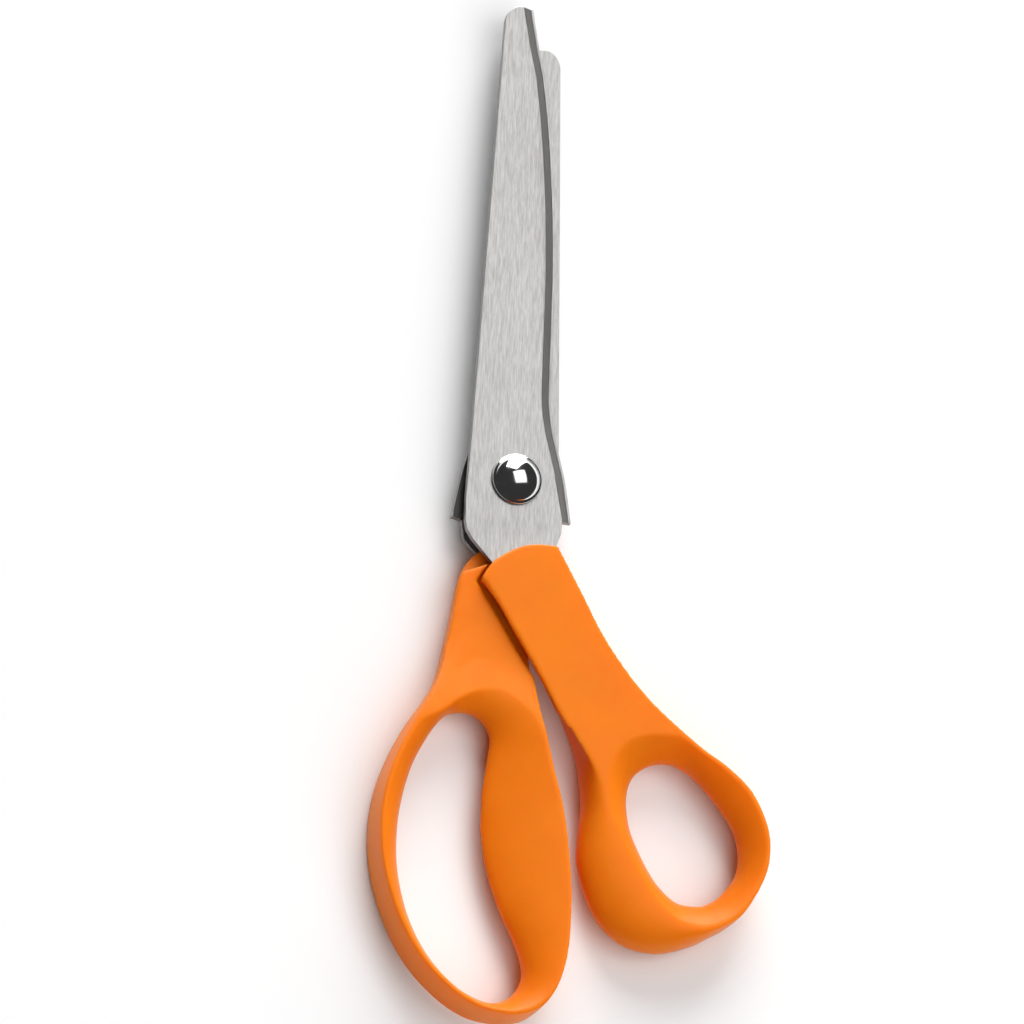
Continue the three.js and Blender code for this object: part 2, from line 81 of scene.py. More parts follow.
SHANK_STEP = 2.6
SHANK_RISE = (38.0, 60.0)
LEDGE_HEIGHT = -0.3
LAP_GAP = 0.3
UNDERCUT_FLANK = [
    (0.0, 1.0), (0.02, 0.93), (0.05, 0.82), (0.08, 0.70), (0.12, 0.58), (0.20, 0.46), (0.38, 0.34),
    (0.62, 0.21), (0.85, 0.09),
]
UNDERCUT_FULL = 0.8  # the undercut is complete where the ring narrows by this much
LAP_CLEAR_RADIUS = 21.5
TANG_FIT = 0.03  # the plastic is moulded round the tang
FAR = 20.0

VOXEL = 0.34  # of the handles' remesh
SOFTEN_STEPS = 7  # smoothing steps that round the moulded edges

# ---- outlines, seen from the front ----

EDGE = [
    (14.1, -9.8), (13.7, -8.4), (11.9, 1.3), (10.3, 7.0), (8.6, 13.6), (7.7, 20.8), (7.6, 36.0),
    (7.4, 51.0), (6.6, 66.0), (5.2, 81.3), (3.3, 94.8), (1.4, 102.7), (-0.4, 111.6),
]
SPINE_LOW = (-11.0, 8.0)
SPINE_SLOPE = 3.8 / 100
CORNER_WIDTH = 3.6
CORNER_LENGTH = 4.2
UNDER_SHOULDER_X = -9.0

FRONT_TANG = [
    (-10.9, 11.4), (-11.0, 8.0), (-11.7, -5.8), (-11.6, -10.7), (-11.1, -12.9), (-9.8, -14.9),
    (-5.2, -19.7), (-1.4, -23.6), (12.4, -49.0), (15.6, -50.6), (19.6, -48.6), (20.9, -45.3), (8.6, -17.8),
    (10.2, -14.1), (11.1, -11.4), (11.2, -8.0), (9.2, 1.3), (7.0, 8.2),
]
REAR_TANG = [
    (-10.9, 11.4), (-11.0, 8.0), (-11.7, -5.8), (-11.6, -10.7), (-11.1, -12.9), (-9.8, -14.9),
    (-5.2, -19.7), (-1.0, -23.0), (-0.2, -43.0), (1.4, -45.4), (6.6, -45.8), (8.6, -43.6), (8.2, -20.5),
    (7.4, -17.2), (8.9, -15.8), (10.5, -14.1), (11.1, -11.2), (11.1, -8.0), (9.2, 1.3), (7.0, 8.2),
]

# Each row is one station round a loop's hole, as points across the ring: the waist of the hole, the
# inner ridge, the outer ridge and the outermost waist. A fifth point is the back face's outer ridge,
# where it isn't straight behind the front one.
OUTER = 2
THUMB_STATIONS = [
    [(47.8, -93.8), (47.7, -99.7), (47.6, -100.6), (46.5, -103.2)],
    [(42.5, -93.6), (42.0, -99.0), (41.4, -99.9), (38.3, -105.9)],
    [(38.1, -90.3), (37.0, -95.4), (36.2, -96.2), (29.9, -104.6)],
    [(35.4, -86.8), (32.7, -89.9), (31.9, -90.6), (23.4, -98.8)],
    [(33.0, -82.7), (29.1, -83.6), (28.2, -84.0), (19.2, -88.4)],
    [(31.0, -78.3), (26.5, -78.3), (25.6, -78.5), (18.9, -80.7)],
    [(30.0, -73.5), (24.8, -74.0), (23.9, -73.9), (19.5, -73.6)],
    [(29.9, -70.3), (24.3, -70.0), (22.3, -69.2), (18.9, -66.8)],
    [(30.2, -68.2), (24.4, -67.0), (19.2, -64.6), (17.6, -60.9), (21.0, -63.0)],
    [(30.7, -66.8), (24.9, -64.0), (13.4, -57.1), (14.9, -54.9), (17.4, -54.6)],
    [(31.3, -65.6), (25.8, -61.8), (6.7, -45.9), (9.2, -44.9), (11.4, -44.0)],
    [(32.0, -64.7), (26.8, -60.2), (-2.5, -32.0), (-0.6, -31.0), (2.0, -30.0)],
    [(32.6, -64.2), (27.7, -59.2), (-6.9, -25.7), (-5.4, -25.4), (-4.8, -25.5)],
    [(32.8, -64.0), (28.0, -58.9), (-7.7, -24.5), (-6.3, -24.3)],
    [(33.7, -63.3), (29.3, -58.0), (-4.6, -19.8), (-4.0, -20.4)],
    [(34.7, -62.7), (31.0, -57.3), (2.1, -15.8), (2.2, -16.8)],
    [(35.8, -62.2), (32.9, -56.7), (9.2, -15.0), (8.8, -16.0)],
    [(36.1, -62.1), (33.5, -56.6), (10.1, -15.6), (9.4, -16.4)],
    [(36.4, -62.0), (34.1, -56.5), (11.6, -17.8), (10.8, -18.2)],
    [(37.0, -61.8), (35.2, -56.4), (16.5, -26.0), (15.7, -26.4)],
    [(38.6, -61.6), (37.8, -56.2), (22.4, -35.8), (21.6, -36.3)],
    [(40.8, -61.8), (40.7, -56.3), (31.8, -47.2), (31.2, -47.9)],
    [(44.5, -63.3), (45.3, -58.9), (44.5, -57.3), (43.9, -57.9)],
    [(48.5, -66.8), (51.5, -62.7), (52.0, -61.9), (51.4, -62.6)],
    [(52.3, -71.0), (57.4, -67.9), (58.1, -67.2), (57.3, -67.8)],
    [(55.4, -75.6), (61.2, -75.2), (62.1, -75.0), (61.2, -75.3)],
    [(56.8, -80.8), (61.9, -82.1), (62.8, -82.3), (61.9, -82.3)],
    [(56.1, -86.0), (60.1, -88.6), (60.9, -89.1), (60.4, -89.3)],
    [(53.0, -90.6), (56.0, -95.2), (56.6, -95.9), (57.4, -95.6)],
    [(50.5, -92.7), (52.3, -98.1), (52.5, -99.0), (52.0, -99.7)],
]
FINGER_STATIONS = [
    [(-3.4, -121.7), (-4.4, -123.8), (-4.7, -124.3), (-4.9, -124.6)],
    [(-9.0, -119.1), (-10.6, -120.6), (-10.9, -121.0), (-11.3, -121.3)],
    [(-15.3, -113.1), (-17.6, -114.3), (-18.0, -114.6), (-18.4, -114.8)],
    [(-20.1, -104.9), (-23.1, -105.6), (-23.6, -105.8), (-24.2, -106.0)],
    [(-23.0, -94.9), (-27.0, -95.0), (-27.6, -95.1), (-28.0, -95.1)],
    [(-23.7, -85.6), (-28.3, -85.4), (-28.9, -85.4), (-29.3, -85.4)],
    [(-22.9, -77.3), (-27.5, -76.1), (-28.1, -75.9), (-28.5, -75.8)],
    [(-20.8, -68.9), (-24.7, -67.3), (-25.3, -67.0), (-25.8, -66.8)],
    [(-17.5, -61.9), (-20.8, -59.9), (-21.5, -59.4), (-22.2, -59.0)],
    [(-15.3, -58.4), (-17.2, -57.6), (-18.9, -53.3), (-18.6, -53.1), (-17.4, -53.6)],
    [(-13.6, -56.5), (-14.8, -56.0), (-16.3, -46.8), (-15.5, -46.8), (-14.2, -47.0)],
    [(-12.6, -55.9), (-13.4, -54.6), (-13.9, -35.0), (-13.2, -35.0), (-11.8, -35.0)],
    [(-11.8, -55.6), (-12.2, -53.6), (-12.3, -24.2), (-11.3, -24.4), (-10.1, -24.7)],
    [(-11.1, -55.4), (-11.0, -52.8), (-9.6, -19.9), (-9.4, -19.5), (-8.8, -20.1)],
    [(-10.4, -55.3), (-9.8, -52.0), (-5.4, -17.2), (-5.5, -16.4)],
    [(-9.6, -55.2), (-8.5, -51.3), (2.0, -17.4), (2.4, -16.8)],
    [(-8.7, -55.2), (-7.0, -50.7), (4.6, -21.0), (5.2, -20.6)],
    [(-7.7, -55.4), (-5.4, -50.2), (4.6, -33.0), (5.2, -33.0)],
    [(-6.4, -55.9), (-3.4, -50.0), (5.3, -42.0), (5.6, -42.0)],
    [(-5.0, -56.8), (-0.6, -50.3), (6.4, -47.5), (6.2, -47.7)],
    [(-3.7, -58.5), (5.4, -54.5), (7.6, -53.9), (7.3, -54.1)],
    [(-2.9, -61.0), (8.0, -60.0), (9.3, -60.0), (8.9, -60.1)],
    [(-3.3, -65.6), (9.9, -66.7), (11.1, -66.8), (10.6, -66.9)],
    [(-4.2, -73.5), (12.7, -76.0), (13.8, -76.2), (13.3, -76.3)],
    [(-4.1, -82.5), (14.5, -85.8), (15.5, -86.0), (15.0, -86.1)],
    [(-2.4, -91.3), (15.5, -95.5), (16.5, -95.8), (15.9, -95.9)],
    [(0.9, -100.0), (15.7, -104.2), (16.6, -104.6), (16.0, -104.8)],
    [(4.8, -107.3), (15.0, -111.9), (15.8, -112.4), (15.4, -112.8)],
    [(6.9, -113.3), (13.1, -117.8), (13.7, -118.5), (13.4, -119.1)],
    [(6.2, -117.6), (9.9, -122.1), (10.2, -122.9), (10.0, -123.5)],
    [(3.8, -120.6), (5.2, -124.4), (5.3, -125.0), (5.1, -125.5)],
    [(0.4, -122.0), (0.3, -124.6), (0.3, -125.1), (0.2, -125.6)],
]
SECTIONS_PER_STATION = 10

# The front shank keeps above this surface and the rear one below it: (y, z).
LAP_PROFILE = [(-10.0, 0.0), (-38.0, 0.0), (-52.0, 3.6), (-60.0, 3.6)]
THUMB_EDGE = [(-8.2, -24.6), (-2.9, -32.3), (3.3, -41.7), (6.4, -46.4), (9.9, -52.3)]
BESIDE_THUMB = [(40.0, -52.0), (40.0, -10.0), (-5.4, -10.0), (-5.4, -20.2)]
FINGER_EDGE = [(6.0, -16.0), (6.0, -33.0), (6.2, -42.0), (8.4, -47.6)]
BESIDE_FINGER = [(-40.0, -47.6), (-40.0, -16.0)]
LEDGE = [(-20.0, -26.6), (-20.0, -10.0), (10.0, -10.0), (10.0, -13.4)]


# ---- mesh helpers ----

def link(name, mesh):
    obj = bpy.data.objects.new(name, mesh)
    bpy.context.scene.collection.objects.link(obj)
    return obj


def closed_mesh(name, points, faces):
    """An object from points in millimetres, with its faces turned outwards."""
    mesh = bpy.data.meshes.new(name)
    mesh.from_pydata([tuple(map(float, p)) for p in points], [], faces)
    shape = bmesh.new()
    shape.from_mesh(mesh)
    bmesh.ops.recalc_face_normals(shape, faces=shape.faces)
    shape.to_mesh(mesh)
    shape.free()
    return link(name, mesh)


def prism(name, outline, low, high):
    """A prism of an outline in the XY plane, from z = low to z = high."""
    count = len(outline)
    points = [(x, y, z) for z in (low, high) for x, y in outline]
    sides = [(i, (i + 1) % count, count + (i + 1) % count, count + i) for i in range(count)]
    caps = [tuple(range(count)), tuple(range(count, 2 * count))]
    return closed_mesh(name, points, sides + caps)


def turned(name, profile, segments):
    """A solid turned about Z from (radius, z) pairs that start and end on the axis."""
    inner = profile[1:-1]
    angles = [2 * math.pi * i / segments for i in range(segments)]
    points = [(r * math.cos(a), r * math.sin(a), z) for a in angles for r, z in inner]
    points += [(0, 0, profile[0][1]), (0, 0, profile[-1][1])]
    rows = len(inner)
    start, end = len(points) - 2, len(points) - 1
    faces = []
    for i in range(segments):
        a, b = i * rows, (i + 1) % segments * rows
        faces += [(a + j, a + j + 1, b + j + 1, b + j) for j in range(rows - 1)]
        faces += [(start, a, b), (end, b + rows - 1, a + rows - 1)]
    return closed_mesh(name, points, faces)


def grid_skin(name, rings, loops):
    """Joins rings of equally many points. The rings close on each other, or end in flat caps."""
    count, around = rings.shape[0], rings.shape[1]
    last = count if loops else count - 1
    faces = []
    for i in range(last):
        a, b = i * around, (i + 1) % count * around
        for j in range(around):
            k = (j + 1) % around
            faces.append((a + j, b + j, b + k, a + k))
    if not loops:
        faces.append(tuple(range(around)))
        faces.append(tuple(range((count - 1) * around, count * around)))
    return closed_mesh(name, rings.reshape(-1, 3), faces)


def applied(obj):
    """Bakes the modifiers of an object into its mesh."""
    graph = bpy.context.evaluated_depsgraph_get()
    mesh = bpy.data.meshes.new_from_object(obj.evaluated_get(graph))
    obj.modifiers.clear()
    old = obj.data
    obj.data = mesh
    bpy.data.meshes.remove(old)
    return obj


def boolean(target, cutter, operation):
    modifier = target.modifiers.new(operation, "BOOLEAN")
    modifier.operation = operation
    modifier.solver = "EXACT"
    modifier.object = cutter
    applied(target)
    bpy.data.objects.remove(cutter)
    return target


def settled(obj):
    """Moves a finished piece from millimetres about the middle plane to metres in the row frame."""
    lift = Matrix.Translation((0, 0, MID_HEIGHT * MM))
    obj.data.transform(lift @ Matrix.Scale(MM, 4))
    obj.data.update()
    return obj


def grown(outline, distance):
    """Each side of a closed outline moved outwards by a distance, with mitred corners."""
    p = np.array(outline, float)
    turn = np.sign(np.sum(p[:, 0] * np.roll(p[:, 1], -1) - p[:, 1] * np.roll(p[:, 0], -1)))

    def normals(step):
        unit = step / np.linalg.norm(step, axis=1)[:, None]
        return np.stack([unit[:, 1], -unit[:, 0]], 1)

    after = normals(np.roll(p, -1, 0) - p)
    before = np.roll(after, 1, 0)
    mitre = before + after
    mitre /= np.linalg.norm(mitre, axis=1)[:, None]
    reach = turn * distance / np.maximum(0.5, np.sum(mitre * before, 1))
    return [tuple(v) for v in p + mitre * reach[:, None]]


def closed_spline(points, steps):
    """A closed Catmull-Rom curve, with this many steps from each point to the next."""
    p1 = np.array(points, float)
    p0, p2, p3 = np.roll(p1, 1, 0), np.roll(p1, -1, 0), np.roll(p1, -2, 0)
    t = np.linspace(0, 1, steps, endpoint=False)[None, :, None]
    p0, p1, p2, p3 = (p[:, None, :] for p in (p0, p1, p2, p3))
    curve = 2 * p1 + (p2 - p0) * t + (2 * p0 - 5 * p1 + 4 * p2 - p3) * t**2
    curve = 0.5 * (curve + (3 * p1 - p0 - 3 * p2 + p3) * t**3)
    return curve.reshape(-1, 2)


def rounded(points, radii, steps=4):
    """A polyline with a fillet of the given radius at each inner point."""
    out = [points[0]]
    for i in range(1, len(points) - 1):
        here = Vector(points[i])
        if not radii[i]:
            out.append(points[i])
            continue
        to_last = (Vector(points[i - 1]) - here).normalized()
        to_next = (Vector(points[i + 1]) - here).normalized()
        half = to_last.angle(to_next) / 2
        reach = radii[i] / math.tan(half)
        for k in range(steps + 1):
            share = k / steps
            a = here + to_last * reach * (1 - share) ** 2
            out.append(tuple(a + to_next * reach * share**2))
    out.append(points[-1])
    return out


# ---- blades ----

def edge_at(y):
    """X of the front blade's cutting edge, on a smooth curve through its points."""
    return float(np.interp(y, EDGE_CURVE[:, 1], EDGE_CURVE[:, 0]))


def open_spline(points, steps):
    ends = [2 * np.array(points[0]) - points[1], 2 * np.array(points[-1]) - points[-2]]
    p = np.array([ends[0], *points, ends[1]], float)
    curve = closed_spline(p, steps).reshape(len(p), steps, 2)[1:-2]
    return np.vstack([curve.reshape(-1, 2), p[-2]])


EDGE_CURVE = open_spline(EDGE, 20)


def spine_at(y, tip_y):
    straight = SPINE_LOW[0] + SPINE_SLOPE * (y - SPINE_LOW[1])
    into = min(1.0, max(0.0, (y - tip_y + CORNER_LENGTH) / CORNER_LENGTH))
    return straight + CORNER_WIDTH * (1 - math.sqrt(1 - into * into))


def blade_ring(y, spine):
    edge = edge_at(y)
    bend = edge - STRIP_WIDTH
    inner = edge - LAND_WIDTH
    outside = [
        (edge, FOOT_OUTER),
        (bend + WALL_RUN, FOOT_OUTER),
        (bend, FACE_OUTER),
        (spine, FACE_OUTER),
    ]
    section = [(spine, FACE_INNER), (inner, FACE_INNER), (inner, -TOOTH_HEIGHT), (edge, -TOOTH_HEIGHT)]
    section += rounded(outside, [0, BEND_RADIUS, BEND_RADIUS, 0])
    return [(x, y, z) for x, z in section]


def blade_skin(name, heel_y, tip_y):
    straight_end = tip_y - CORNER_LENGTH
    rings = []
    for y in np.linspace(heel_y, straight_end, 90):
        rings.append(blade_ring(y, UNDER_SHOULDER_X if y < SPINE_LOW[1] else spine_at(y, tip_y)))
    for angle in range(8, 85, 8):
        y = straight_end + CORNER_LENGTH * math.sin(math.radians(angle))
        rings.append(blade_ring(y, spine_at(y, tip_y)))
    return grid_skin(name, np.array(rings), False)


def tooth_cutter(phase):
    """Everything above the zigzag surface of the teeth, whose crests are circles about the pivot."""
    profile = [(0, TOOTH_GAP / 2), (TOOTH_START, TOOTH_GAP / 2)]
    half = TOOTH_PITCH / 2
    side = phase
    r = TOOTH_START + half / 2
    while r < FRONT_TIP_Y + TOOTH_PITCH:
        profile.append((r, TOOTH_GAP / 2 + side * TOOTH_HEIGHT / 2))
        side = -side
        r += half
    above = FACE_OUTER + TOOTH_PITCH
    profile += [(r, above), (0, above)]
    return turned("tooth_cutter", profile, 256)


def blade(name, heel_y, tip_y, tang, phase):
    """A blade as seen from its own outer face, with the teeth towards -Z."""
    body = boolean(blade_skin(name, heel_y, tip_y), tooth_cutter(phase), "INTERSECT")
    body = boolean(body, prism("plate", tang, FACE_INNER, FACE_OUTER), "UNION")
    bore = turned("bore", [(0, -FAR), (BORE_RADIUS, -FAR), (BORE_RADIUS, FAR), (0, FAR)], 96)
    body = boolean(body, bore, "DIFFERENCE")
    tidy_planes(body)
    mark_finishes_and_shades(body)
    break_edges(body, EDGE_BREAK)
    return body


def tidy_planes(obj):
    """Joins the faces that lie in one plane, which the booleans leave in slivers."""
    shape = bmesh.new()
    shape.from_mesh(obj.data)
    bmesh.ops.remove_doubles(shape, verts=shape.verts, dist=1e-4)
    bmesh.ops.dissolve_limit(
        shape, angle_limit=math.radians(0.4), verts=shape.verts, edges=shape.edges
    )
    shape.to_mesh(obj.data)
    shape.free()


def mark_finishes_and_shades(obj):
    """Marks a blade's sloping wall and sheared edges 1, for darker steel that is partly their pressed
    finish and partly painted shade, the inside of its heel 2, for near-black painted shade, and the rest
    0.
    """
    for face in obj.data.polygons:
        sloping = 0.25 < abs(face.normal.z) < 0.93 and face.center.z > 0
        sheared = abs(face.normal.z) < 0.25 and face.center.z > -TOOTH_HEIGHT
        inside = face.normal.z < -0.93 and abs(face.center.z) < TOOTH_GAP
        # Index 1 is darker steel, partly pressed finish and partly painted shade; index 2 is near-black
        # painted shade.
        face.material_index = 2 if inside else int(sloping or sheared)


def break_edges(obj, width):
    bevel = obj.modifiers.new("break", "BEVEL")
    bevel.width = width
    bevel.segments = 2
    bevel.limit_method = "ANGLE"
    bevel.angle_limit = math.radians(28)
    bevel.use_clamp_overlap = False
    bevel.harden_normals = True
    for face in obj.data.polygons:
        face.use_smooth = True
    applied(obj)


# ---- handles ----

def rising_face(y):
    """Height of the shank face next to the other handle: low at the blade end, full at the loop."""
    t = np.clip((-y - SHANK_RISE[0]) / (SHANK_RISE[1] - SHANK_RISE[0]), 0, 1)
    return SHANK_STEP + (RIDGE - SHANK_STEP) * t * t * (3 - 2 * t)


def full(y):
    return np.full_like(y, RIDGE)


def flank_points(steps):
    """The funnel flank from the waist (0, 0) up to the inner ridge (1, 1): steep, then flatter."""
    t = np.linspace(0, 1, steps)
    across = 3 * t * (1 - t) ** 2 * 0.02 + 3 * t**2 * (1 - t) * 0.45 + t**3
    height = 3 * t * (1 - t) ** 2 * 0.30 + 3 * t**2 * (1 - t) * 0.72 + t**3
    return list(zip(across, height))


def outer_flank(waist, ridge, rim):
    """From the outer ridge (0, 1) to the outermost waist (1, 0), as (across, height) for each section:
    a rounded bulge, or where the ring narrows towards the middle an upright edge and an undercut."""
    towards = waist - ridge
    narrowing = np.sum((rim - ridge) * towards, 1) / np.linalg.norm(towards, axis=1)
    undercut = np.clip(narrowing / UNDERCUT_FULL, 0, 1)[:, None]
    under_across, under_height = np.array(UNDERCUT_FLANK).T
    steps = np.radians(np.linspace(0, 90, len(UNDERCUT_FLANK), endpoint=False))
    across = np.sin(steps) + (under_across - np.sin(steps)) * undercut
    height = np.cos(steps) + (under_height - np.cos(steps)) * undercut
    return zip(across.T[:, :, None], height.T)


def handle_body(name, stations, front_at, back_at):
    columns = [[row[c] if c < len(row) else row[OUTER] for row in stations] for c in range(5)]
    waist, inner, outer, rim, back_outer = (closed_spline(c, SECTIONS_PER_STATION) for c in columns)
    middle = (front_at(rim[:, 1]) - back_at(rim[:, 1])) / 2

    def side(ridge, height_at, sign):
        rows = []
        for across, height in flank_points(9)[1:]:
            place = waist + (inner - waist) * across
            rows.append((place, sign * height_at(place[:, 1]) * height))
        for across in (0.25, 0.5, 0.75):
            place = inner + (ridge - inner) * across
            rows.append((place, sign * height_at(place[:, 1])))
        for across, height in outer_flank(waist, ridge, rim):
            place = ridge + (rim - ridge) * across
            top = sign * height_at(place[:, 1])
            rows.append((place, middle + (top - middle) * height))
        return rows

    rows = [(waist, np.zeros(len(waist)))]
    rows += side(outer, front_at, 1)
    rows += [(rim, middle)]
    rows += side(back_outer, back_at, -1)[::-1]
    rings = np.stack([np.column_stack([place, z]) for place, z in rows], 1)
    return grid_skin(name, rings, True)


def lap_solid(offset, far):
    surface = [(y, z + offset) for y, z in LAP_PROFILE]
    outline = surface + [(surface[-1][0], far), (surface[0][0], far)]
    solid = prism("lap", outline, -2 * FAR, 2 * FAR)
    turn = Matrix.Rotation(math.pi / 2, 4, "Z") @ Matrix.Rotation(math.pi / 2, 4, "X")
    solid.data.transform(turn)
    return solid


def remeshed(obj):
    """An even fine closed mesh of a solid, even where its skin passes through itself."""
    remesh = obj.modifiers.new("remesh", "REMESH")
    remesh.mode = "VOXEL"
    remesh.voxel_size = VOXEL
    remesh.use_smooth_shade = True
    return applied(obj)


def moulded(obj):
    """The same with its edges rounded as a mould leaves them."""
    obj = remeshed(obj)
    smooth = obj.modifiers.new("soften", "SMOOTH")
    smooth.factor = 0.5
    smooth.iterations = SOFTEN_STEPS
    return applied(obj)


def tang_pocket(tang, low, high):
    return prism("pocket", grown(tang, TANG_FIT), low - TANG_FIT, high + TANG_FIT)


def thumb_handle():
    body = handle_body("handle_thumb", THUMB_STATIONS, full, rising_face)
    lapped = prism("lapped", FINGER_EDGE + BESIDE_FINGER, -FAR, FAR)
    reach = LAP_CLEAR_RADIUS
    clearance = turned("clearance", [(0, -FAR), (reach, -FAR), (reach, FAR), (0, FAR)], 96)
    lapped = boolean(lapped, clearance, "UNION")
    lapped = boolean(lapped, lap_solid(LAP_GAP / 2, -FAR), "INTERSECT")
    body = moulded(boolean(remeshed(body), lapped, "DIFFERENCE"))
    return boolean(body, tang_pocket(FRONT_TANG, FACE_INNER, FACE_OUTER), "DIFFERENCE")


def finger_handle():
    body = handle_body("handle_finger", FINGER_STATIONS, rising_face, full)
    lapped = prism("lapped", THUMB_EDGE + BESIDE_THUMB, -FAR, FAR)
    lapped = boolean(lapped, lap_solid(-LAP_GAP / 2, FAR), "INTERSECT")
    body = boolean(remeshed(body), lapped, "DIFFERENCE")
    body = boolean(body, prism("ledge", LEDGE, LEDGE_HEIGHT, FAR), "DIFFERENCE")
    tang = [(-x, y) for x, y in REAR_TANG]
    return boolean(moulded(body), tang_pocket(tang, -FACE_OUTER, -FACE_INNER), "DIFFERENCE")


# ---- pivot ----

def pivot_bolt():
    """Domed head with a rolled rim, on a plain shank."""
    rim = [(HEAD_RADIUS - r, HEAD_SEAT + z) for r, z in HEAD_RIM]
    reach, base = rim[-1]
    start = math.radians(DOME_START)
    dome = []
    for angle in np.linspace(start, math.pi / 2, 18, endpoint=False)[1:]:
        rise = (math.sin(angle) - math.sin(start)) / (1 - math.sin(start))
        dome.append((reach * math.cos(angle) / math.cos(start), base + (HEAD_TOP - base) * rise))
    shank = [(0, SHANK_END), (SHANK_RADIUS, SHANK_END), (SHANK_RADIUS, HEAD_SEAT)]
    return turned("bolt_domed", shank + rim + dome + [(0, HEAD_TOP)], 128)


def smooth_by_angle(obj, degrees):
    for face in obj.data.polygons:
        face.use_smooth = True
    obj.data.set_sharp_from_angle(angle=math.radians(degrees))


# ---- materials ----

def new_material(name):
    material = bpy.data.materials.new(name)
    material.use_nodes = True
    nodes = material.node_tree.nodes
    return material, nodes, material.node_tree.links, nodes["Principled BSDF"]


def stretched_noise(nodes, links, scale, detail=3.0, roughness=0.6):
    """Noise in the object's own metres, stretched by a different scale along each axis."""
    coordinates = nodes.new("ShaderNodeTexCoord")
    mapping = nodes.new("ShaderNodeMapping")
    mapping.inputs["Scale"].default_value = scale
    noise = nodes.new("ShaderNodeTexNoise")
    noise.inputs["Scale"].default_value = 1.0
    noise.inputs["Detail"].default_value = detail
    noise.inputs["Roughness"].default_value = roughness
    links.new(coordinates.outputs["Object"], mapping.inputs["Vector"])
    links.new(mapping.outputs["Vector"], noise.inputs["Vector"])
    return noise.outputs["Fac"]


def ramp(nodes, links, value, stops):
    """A colour ramp of (position, colour) stops."""
    node = nodes.new("ShaderNodeValToRGB")
    elements = node.color_ramp.elements
    while len(elements) < len(stops):
        elements.new(0.5)
    for element, (position, colour) in zip(elements, stops):
        element.position = position
        element.color = (*colour, 1.0)
    links.new(value, node.inputs["Fac"])
    return node.outputs["Color"]


def mixed(nodes, links, mode, share, a, b):
    node = nodes.new("ShaderNodeMix")
    node.data_type = "RGBA"
    node.blend_type = mode
    node.inputs["Factor"].default_value = share
    links.new(a, node.inputs["A"])
    links.new(b, node.inputs["B"])
    return node.outputs["Result"]


def spread(nodes, links, value, low, high):
    """Maps noise from its usual range to low..high."""
    node = nodes.new("ShaderNodeMapRange")
    node.inputs["From Min"].default_value = 0.3
    node.inputs["From Max"].default_value = 0.7
    node.inputs["To Min"].default_value = low
    node.inputs["To Max"].default_value = high
    links.new(value, node.inputs["Value"])
    return node.outputs["Result"]


def bump(nodes, links, shader, height, distance, strength):
    node = nodes.new("ShaderNodeBump")
    node.inputs["Distance"].default_value = distance
    node.inputs["Strength"].default_value = strength
    links.new(height, node.inputs["Height"])
    links.new(node.outputs["Normal"], shader.inputs["Normal"])


def grey(value, warmth=0.0):
    return (value * (1 + warmth), value, value * (1 - warmth))


def brushed_steel(name, level, rough, contrast):
    """Stainless steel with fine grain along the blade."""
    material, nodes, links, shader = new_material(name)
    shader.inputs["Metallic"].default_value = 1.0
    grain = stretched_noise(nodes, links, (3600, 260, 3600), 4.0, 0.65)
    fine = stretched_noise(nodes, links, (11000, 700, 11000), 2.0)
    cloud = stretched_noise(nodes, links, (90, 40, 90), 3.0)
    low, high = level * (1 - contrast), level * (1 + contrast)
    streaks = ramp(nodes, links, grain, [(0.36, grey(low, 0.03)), (0.64, grey(high, 0.015))])
    shade = ramp(nodes, links, cloud, [(0.3, grey(0.95)), (0.7, grey(1.0))])
    links.new(mixed(nodes, links, "MULTIPLY", 1.0, streaks, shade), shader.inputs["Base Color"])
    links.new(spread(nodes, links, fine, rough - 0.05, rough + 0.07), shader.inputs["Roughness"])
    bump(nodes, links, shader, grain, 0.00003, 0.35)
    return material


def polished_chrome():
    """Bright plating with hairline handling scratches."""
    material, nodes, links, shader = new_material("pivot_chrome")
    shader.inputs["Metallic"].default_value = 1.0
    hairs = stretched_noise(nodes, links, (900, 14000, 900), 2.0)
    haze = stretched_noise(nodes, links, (500, 500, 500), 4.0)
    tint = ramp(nodes, links, haze, [(0.3, grey(0.80)), (0.7, grey(0.88))])
    links.new(tint, shader.inputs["Base Color"])
    links.new(spread(nodes, links, haze, 0.06, 0.14), shader.inputs["Roughness"])
    bump(nodes, links, shader, hairs, 0.00001, 0.06)
    return material


def moulded_orange():
    """Satin orange plastic with the fine texture of its mould."""
    material, nodes, links, shader = new_material("handle_plastic")
    cloud = stretched_noise(nodes, links, (70, 70, 70), 3.0)
    speckle = stretched_noise(nodes, links, (5200, 5200, 5200), 2.0)
    colour = ramp(nodes, links, cloud, [(0.3, (0.83, 0.195, 0.005)), (0.7, (0.87, 0.215, 0.006))])
    links.new(colour, shader.inputs["Base Color"])
    links.new(spread(nodes, links, cloud, 0.36, 0.46), shader.inputs["Roughness"])
    shader.inputs["Specular IOR Level"].default_value = 0.18
    shader.inputs["Subsurface Weight"].default_value = 0.5
    shader.inputs["Subsurface Radius"].default_value = (1.0, 0.2, 0.05)
    shader.inputs["Subsurface Scale"].default_value = 0.004
    bump(nodes, links, shader, speckle, 0.00004, 0.30)
    return material


def natural_nylon():
    material, nodes, links, shader = new_material("bushing_nylon")
    cloud = stretched_noise(nodes, links, (400, 400, 400), 3.0)
    colour = ramp(nodes, links, cloud, [(0.3, (0.70, 0.68, 0.60)), (0.7, (0.78, 0.76, 0.69))])
    links.new(colour, shader.inputs["Base Color"])
    shader.inputs["Roughness"].default_value = 0.45
    bump(nodes, links, shader, cloud, 0.00005, 0.3)
    return material


def dress(obj, materials, body, slot, *nodes):
    """Gives a piece its finishes, the body it moves with and the CAD nodes that it stands for."""
    indices = [face.material_index for face in obj.data.polygons]
    obj.data.materials.clear()
    for material in materials:
        obj.data.materials.append(material)
    obj.data.polygons.foreach_set("material_index", indices if len(materials) > 1 else [0] * len(indices))
    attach(obj, body)
    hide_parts(*nodes)


